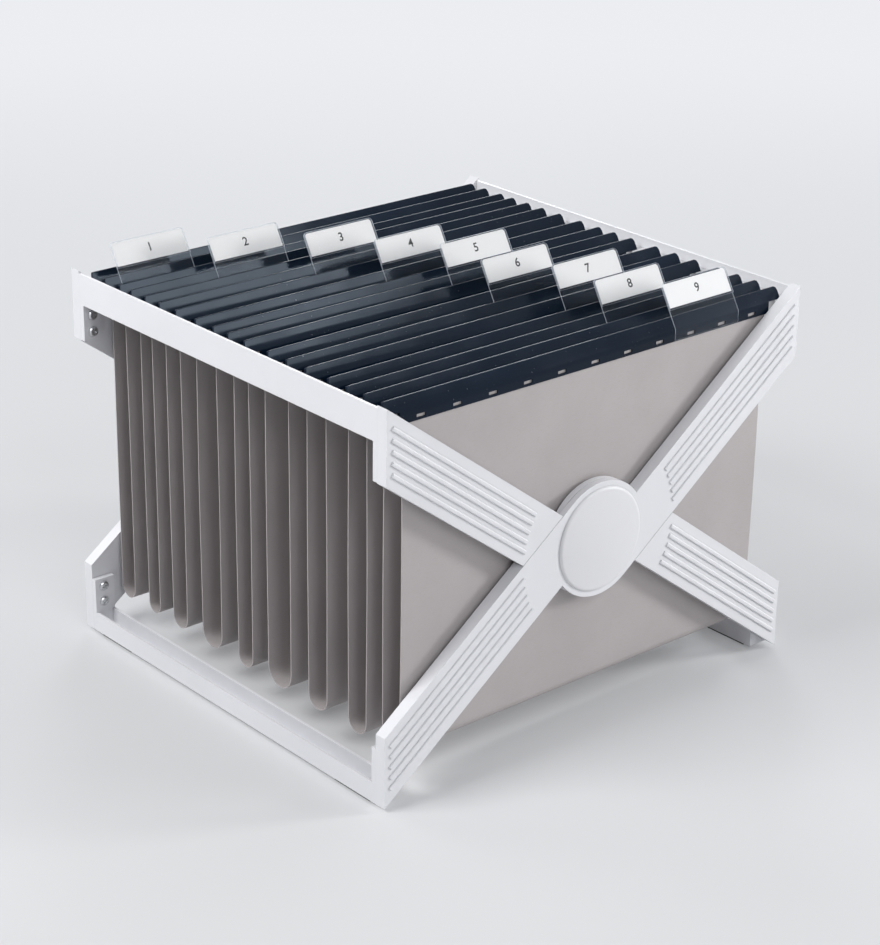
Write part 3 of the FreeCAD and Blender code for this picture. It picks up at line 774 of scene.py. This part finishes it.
def model_pocket(index, look, material):
    """Sheet hung as a U: one wall, a turned fold at the foot, the other wall."""
    node = "pocket_%d" % index
    low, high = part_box(node)
    left = low.x + SHEET_WALL / 2
    right = high.x - SHEET_WALL / 2
    bend = low.z + SHEET_WALL / 2 + (right - left) / 2
    pocket = add_alone(
        bpy.ops.mesh.primitive_grid_add, x_subdivisions=SHEET_ROWS,
        y_subdivisions=SHEET_COLUMNS, size=1.0,
        location=(left, 0.0, (high.z + bend) / 2), rotation=(0.0, QUARTER, 0.0))
    pocket.name = node + "_sheet"
    bpy.ops.transform.resize(value=(1.0, high.y - low.y, high.z - bend))
    apply_place()
    bpy.ops.object.mode_set(mode="EDIT")
    choose(pocket, "EDGE", lambda edge: all(
        abs(vertex.co.z - bend) < CLOSE for vertex in edge.verts))
    bpy.ops.mesh.spin(steps=FOLD_STEPS, angle=math.pi, dupli=False,
                      center=((left + right) / 2, 0.0, bend), axis=(0.0, 1.0, 0.0))
    choose(pocket, "EDGE", lambda edge: all(
        abs(vertex.co.z - bend) < CLOSE and abs(vertex.co.x - right) < CLOSE
        for vertex in edge.verts))
    rise = Vector((0.0, 0.0, (high.z - bend) / SHEET_ROWS))
    for _ in range(SHEET_ROWS):
        bpy.ops.mesh.extrude_region_move(TRANSFORM_OT_translate={"value": rise})
    bpy.ops.mesh.select_all(action="SELECT")
    bpy.ops.mesh.remove_doubles(threshold=MERGE)
    bpy.ops.mesh.normals_make_consistent(inside=False)
    bpy.ops.object.mode_set(mode="OBJECT")
    belly(pocket, left, right, high.z - SHEET_HEM, bend, look.sheet_bow)
    apply_modifier(pocket, "SOLIDIFY", thickness=BOARD, offset=0.0,
                   use_even_offset=True)
    only(pocket)
    bpy.ops.object.shade_smooth_by_angle(angle=math.radians(35.0))
    dress(pocket, material, "folder_%d" % index, "folder_sheet", node)


class FILEBOX_OT_pockets(bpy.types.Operator):
    """Hang the folded sheets of all folders"""

    bl_idname = "file_box.pockets"
    bl_label = "Folder Sheets"

    def execute(self, context):
        look = context.scene.file_box_folders
        material = pressed_board("Grey pressed board", look.sheet_colour)
        for index in FOLDERS:
            model_pocket(index, look, material)
        return {"FINISHED"}


class FILEBOX_OT_strips(bpy.types.Operator):
    """Model one top strip and copy it to both edges of every folder"""

    bl_idname = "file_box.strips"
    bl_label = "Top Strips"

    def execute(self, context):
        look = context.scene.file_box_folders
        material = black_strip("Glossy strip plastic", look.strip_colour)
        first = "rear_strip_1"
        pattern = blank_from(first, "strip_pattern")
        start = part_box(first)[1]
        bpy.ops.object.mode_set(mode="EDIT")
        choose(pattern, "EDGE", lambda edge: all(
            vertex.co.z > start.z - RIDGE_DEPTH and abs(vertex.co.y) < RIDGE_REACH
            for vertex in edge.verts) and edge.calc_length() > RIDGE_SHORTEST)
        bpy.ops.mesh.bevel(offset=look.ridge_round, segments=4, affect="EDGES")
        bpy.ops.object.mode_set(mode="OBJECT")
        round_edges(pattern, 0.3 * MM, angle=32.0)
        for index in FOLDERS:
            for edge in ("rear", "front"):
                node = "%s_strip_%d" % (edge, index)
                strip = another(pattern, node + "_extruded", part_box(node)[1] - start)
                dress(strip, material, "folder_%d" % index, "strip_plastic", node)
        bpy.data.objects.remove(pattern)
        return {"FINISHED"}


def slope_place(strip, y):
    """Frame of reference on a strip's roof: along the strip, up the slope, outward."""
    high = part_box(strip)[1]
    turned = Matrix(((0.0, -math.sin(ROOF_TILT), math.cos(ROOF_TILT)),
                     (1.0, 0.0, 0.0),
                     (0.0, math.cos(ROOF_TILT), math.sin(ROOF_TILT)))).to_4x4()
    return Matrix.Translation((high.x, y, high.z - ROOF_DROP)) @ turned


def plate(width, low, high, layer, radius=0.0):
    """Flat plate on the slope between two heights, with rounded upper corners."""
    near, far = layer
    piece = add_alone(bpy.ops.mesh.primitive_plane_add, size=1.0,
                      location=(0.0, (low + high) / 2, near))
    bpy.ops.transform.resize(value=(width, high - low, 1.0))
    apply_place()
    bpy.ops.object.mode_set(mode="EDIT")
    if radius > 0.0:
        choose(piece, "VERT", lambda vertex: vertex.co.y > high - CLOSE)
        bpy.ops.mesh.bevel(offset=radius, segments=8, affect="VERTICES")
    bpy.ops.mesh.select_all(action="SELECT")
    bpy.ops.mesh.extrude_region_move(
        TRANSFORM_OT_translate={"value": (0.0, 0.0, far - near)})
    bpy.ops.mesh.select_all(action="SELECT")
    bpy.ops.mesh.normals_make_consistent(inside=False)
    bpy.ops.object.mode_set(mode="OBJECT")
    return piece


def model_skirt(look):
    """Back of the tab: up the slope behind the card, and down the leg as a skirt."""
    back = plate(TAB_LENGTH, 0.0, SLEEVE_TOP, TAB_BACK, look.corner_radius)
    bpy.ops.object.mode_set(mode="EDIT")
    choose(back, "FACE", lambda face: face.normal.y < -0.9)
    bpy.ops.mesh.extrude_region_move(
        TRANSFORM_OT_translate={"value": DOWN * SKIRT_DROP})
    bpy.ops.object.mode_set(mode="OBJECT")
    return back


def model_lugs():
    """Two lugs that reach through the skirt into the strip's slots."""
    lugs = []
    for end in (-0.5, 0.5):
        middle = DOWN * LUG_DROP + Vector((end * SLOT_PITCH, LUG_RAISED, -LUG_SUNK))
        lug = add_alone(bpy.ops.mesh.primitive_cube_add, size=1.0, scale=LUG_SIZE,
                        rotation=(-ROOF_TILT, 0.0, 0.0), location=middle)
        apply_place()
        round_edges(lug, 0.25 * MM)
        lugs.append(lug)
    return lugs


def model_tab(look, clear, edge_highlight):
    """Clear tab: skirt and back, front of the sleeve, welded sides and foot, lugs."""
    weld_top = SLEEVE_FOOT + TAB_WELD
    walls = [model_skirt(look),
             plate(TAB_LENGTH, SLEEVE_FOOT, SLEEVE_TOP, TAB_FRONT, look.corner_radius),
             plate(TAB_LENGTH, SLEEVE_FOOT, weld_top, TAB_GAP)]
    for end in (-0.5, 0.5):
        side = plate(TAB_WELD, weld_top, SLEEVE_TOP - look.corner_radius, TAB_GAP)
        settle(side, Matrix.Translation((end * (TAB_LENGTH - TAB_WELD), 0.0, 0.0)))
        walls.append(side)
    lugs = model_lugs()
    for wall in walls:
        round_edges(wall, 0.1 * MM, angle=40.0)
    for part in walls + lugs:
        part.data.materials.append(clear)
        part.data.materials.append(edge_highlight)
    # Small faces, the edges of the back and front, take the painted highlight material
    edge_area = 1.0 * MM * TAB_LENGTH
    for wall in walls[:2]:
        for face in wall.data.polygons:
            face.material_index = 1 if face.area < edge_area else 0
    return join("tab_pattern", walls + lugs)


class FILEBOX_OT_tabs(bpy.types.Operator):
    """Model one clear index tab and clip a copy to every folder"""

    bl_idname = "file_box.tabs"
    bl_label = "Index Tabs"

    def execute(self, context):
        look = context.scene.file_box_folders
        clear = clear_plastic("Clear tab plastic", look.tab_colour, WALL_COVER)
        # Painted highlight: the edges take a tint twice as light that covers most of what
        # lies behind them
        edge_highlight = clear_plastic("Clear tab edge", shade(look.tab_colour, 2.0), EDGE_HIGHLIGHT_COVER)
        pattern = model_tab(look, clear, edge_highlight)
        for index in FOLDERS:
            node = "index_tab_%d" % index
            low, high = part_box(node)
            tab = another(pattern, node + "_clear", (0.0, 0.0, 0.0))
            settle(tab, slope_place("front_strip_%d" % index, (low.y + high.y) / 2))
            dress(tab, clear, "folder_%d" % index, "clear_plastic", node)
        bpy.data.objects.remove(pattern)
        return {"FINISHED"}


def model_digit(index, look):
    """Printed digit, a hair proud of the card."""
    digit = add_alone(bpy.ops.object.text_add)
    digit.data.body = str(index)
    digit.data.size = look.digit_height / DIGIT_SHARE
    digit.data.align_x = "CENTER"
    digit.data.align_y = "CENTER"
    digit.data.extrude = INK_DEPTH
    digit.data.offset = STROKE_WEIGHT
    digit.data.resolution_u = 6
    bpy.ops.object.convert(target="MESH")
    bpy.ops.object.mode_set(mode="EDIT")
    bpy.ops.mesh.select_all(action="SELECT")
    bpy.ops.mesh.remove_doubles(threshold=MERGE)
    bpy.ops.object.mode_set(mode="OBJECT")
    digit.location = (0.0, (SLEEVE_FOOT + SLEEVE_TOP) / 2 + DIGIT_RISE, INK_LAYER)
    apply_place()
    return digit


class FILEBOX_OT_labels(bpy.types.Operator):
    """Cut the paper labels, print their digits and slide them into the tabs"""

    bl_idname = "file_box.labels"
    bl_label = "Labels"

    def execute(self, context):
        look = context.scene.file_box_folders
        paper = label_paper("White label paper", look.card_colour)
        ink = printing_ink("Black printing ink")
        for index in FOLDERS:
            node = "label_card_%d" % index
            low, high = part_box(node)
            place = slope_place("front_strip_%d" % index, (low.y + high.y) / 2)
            card = plate(TAB_LENGTH - 2 * CARD_SIDE, SLEEVE_FOOT + CARD_FOOT,
                         SLEEVE_TOP - CARD_TOP, CARD_LAYER,
                         look.corner_radius - CARD_CORNER)
            card.name = node + "_paper"
            round_edges(card, 0.05 * MM, segments=1, angle=40.0)
            settle(card, place)
            dress(card, paper, "folder_%d" % index, "label_paper", node)
            digit = model_digit(index, look)
            digit.name = "label_digit_%d" % index
            settle(digit, place)
            digit.data.materials.append(ink)
            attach(digit, "folder_%d" % index)
        return {"FINISHED"}


# Stage

def seen_directly(nodes, links):
    """1 for rays from the camera or off or through gloss, 0 for light on the object."""
    path = nodes.new("ShaderNodeLightPath")
    most = path.outputs["Is Camera Ray"]
    for name in ("Is Glossy Ray", "Is Transmission Ray"):
        larger = nodes.new("ShaderNodeMath")
        larger.operation = "MAXIMUM"
        links.new(most, larger.inputs[0])
        links.new(path.outputs[name], larger.inputs[1])
        most = larger.outputs[0]
    return most


def set_world(look):
    """Even light on the object, and a pale surround for what looks past it."""
    world = bpy.data.worlds.new("Pale surround")
    bpy.context.scene.world = world
    world.use_nodes = True
    nodes = world.node_tree.nodes
    links = world.node_tree.links
    background = nodes["Background"]
    background.inputs["Color"].default_value = SURROUND
    strength = nodes.new("ShaderNodeMapRange")
    strength.inputs["To Min"].default_value = look.world_strength
    strength.inputs["To Max"].default_value = SURROUND_LEVEL
    links.new(seen_directly(nodes, links), strength.inputs["Value"])
    links.new(strength.outputs["Result"], background.inputs["Strength"])


def add_floor(look):
    """Plain floor that keeps the shadow and turns into the surround further out."""
    floor = add_alone(bpy.ops.mesh.primitive_plane_add, size=FLOOR_WIDTH)
    floor.name = "studio_floor"
    finish = Finish("Pale studio floor")
    cloud = finish.between(finish.noise(1.3), 0.0, 1.0)
    finish.colour(finish.blend(cloud, shade(look.floor_colour, 0.99),
                               shade(look.floor_colour, 1.01)))
    finish.fix("Roughness", 0.65)
    finish.fix("IOR", 1.3)
    nodes, links = finish.nodes, finish.links
    distance = nodes.new("ShaderNodeVectorMath")
    distance.operation = "LENGTH"
    links.new(finish.place, distance.inputs[0])
    fade = nodes.new("ShaderNodeMapRange")
    fade.interpolation_type = "SMOOTHSTEP"
    fade.inputs["From Min"].default_value = FADE_START
    fade.inputs["From Max"].default_value = FADE_END
    fade.inputs["To Min"].default_value = FADE_NEAR
    links.new(distance.outputs["Value"], fade.inputs["Value"])
    share = nodes.new("ShaderNodeMath")
    share.operation = "MULTIPLY"
    links.new(fade.outputs["Result"], share.inputs[0])
    links.new(seen_directly(nodes, links), share.inputs[1])
    glow = nodes.new("ShaderNodeEmission")
    glow.inputs["Color"].default_value = SURROUND
    glow.inputs["Strength"].default_value = SURROUND_LEVEL
    mix = nodes.new("ShaderNodeMixShader")
    links.new(share.outputs[0], mix.inputs["Fac"])
    links.new(finish.shader.outputs["BSDF"], mix.inputs[1])
    links.new(glow.outputs["Emission"], mix.inputs[2])
    links.new(mix.outputs["Shader"], nodes["Material Output"].inputs["Surface"])
    floor.data.materials.append(finish.material)


def add_lamp(name, place, width, height, power, colour):
    """Soft light turned towards the middle of the object."""
    lamp = add_alone(bpy.ops.object.light_add, type="AREA", location=place)
    lamp.name = name
    sight = Vector(LAMP_TARGET) - Vector(place)
    lamp.rotation_euler = sight.to_track_quat("-Z", "Y").to_euler()
    lamp.data.shape = "RECTANGLE"
    lamp.data.size = width
    lamp.data.size_y = height
    lamp.data.energy = power
    lamp.data.color = colour


def add_camera(look):
    """Camera at the height and side that show the hub, the right arms and the tabs."""
    camera = add_alone(bpy.ops.object.camera_add, location=CAMERA_PLACE)
    camera.rotation_euler = [math.radians(angle) for angle in CAMERA_TURN]
    camera.data.sensor_width = 36.0
    camera.data.lens = look.lens
    camera.data.clip_start = 0.05
    camera.data.clip_end = 60.0
    bpy.context.scene.camera = camera


class FILEBOX_OT_stage(bpy.types.Operator):
    """Lay the pale floor, hang the soft lights and set up the camera"""

    bl_idname = "file_box.stage"
    bl_label = "Stage"

    def execute(self, context):
        look = context.scene.file_box_stage
        add_floor(look)
        set_world(look)
        for name, place, width, height, setting, colour in LAMPS:
            add_lamp(name, place, width, height, getattr(look, setting), colour)
        add_camera(look)
        context.scene.view_settings.view_transform = "Standard"
        return {"FINISHED"}


class FILEBOX_PT_panel(bpy.types.Panel):
    """Steps of the model and its settings"""

    bl_idname = "FILEBOX_PT_panel"
    bl_label = "Hanging File Box"
    bl_space_type = "VIEW_3D"
    bl_region_type = "UI"
    bl_category = "File Box"

    def draw(self, context):
        layout = self.layout
        for operator in OPERATORS:
            layout.operator(operator.bl_idname)
        for settings in (context.scene.file_box_frame, context.scene.file_box_folders,
                         context.scene.file_box_stage):
            box = layout.box()
            for name in settings.__annotations__:
                box.prop(settings, name)


OPERATORS = (FILEBOX_OT_arms, FILEBOX_OT_hub, FILEBOX_OT_rails, FILEBOX_OT_fittings,
             FILEBOX_OT_pockets, FILEBOX_OT_strips, FILEBOX_OT_tabs,
             FILEBOX_OT_labels, FILEBOX_OT_stage)
GROUPS = {"file_box_frame": FrameLook, "file_box_folders": FolderLook,
          "file_box_stage": StageLook}


def register():
    """Register the settings, the operators and the panel."""
    for group in GROUPS.values():
        bpy.utils.register_class(group)
    for operator in OPERATORS:
        bpy.utils.register_class(operator)
    bpy.utils.register_class(FILEBOX_PT_panel)
    for name, group in GROUPS.items():
        setattr(bpy.types.Scene, name, bpy.props.PointerProperty(type=group))


def unregister():
    """Take out all that register brings in, last things first."""
    for name in GROUPS:
        delattr(bpy.types.Scene, name)
    bpy.utils.unregister_class(FILEBOX_PT_panel)
    for operator in reversed(OPERATORS):
        bpy.utils.unregister_class(operator)
    for group in reversed(list(GROUPS.values())):
        bpy.utils.unregister_class(group)


def main():
    """Model every piece and lay the stage."""
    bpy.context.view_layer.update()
    register()
    bpy.ops.file_box.arms()
    bpy.ops.file_box.hub()
    bpy.ops.file_box.rails()
    bpy.ops.file_box.fittings()
    bpy.ops.file_box.pockets()
    bpy.ops.file_box.strips()
    bpy.ops.file_box.tabs()
    bpy.ops.file_box.labels()
    bpy.ops.file_box.stage()


if __name__ == "__main__":
    main()
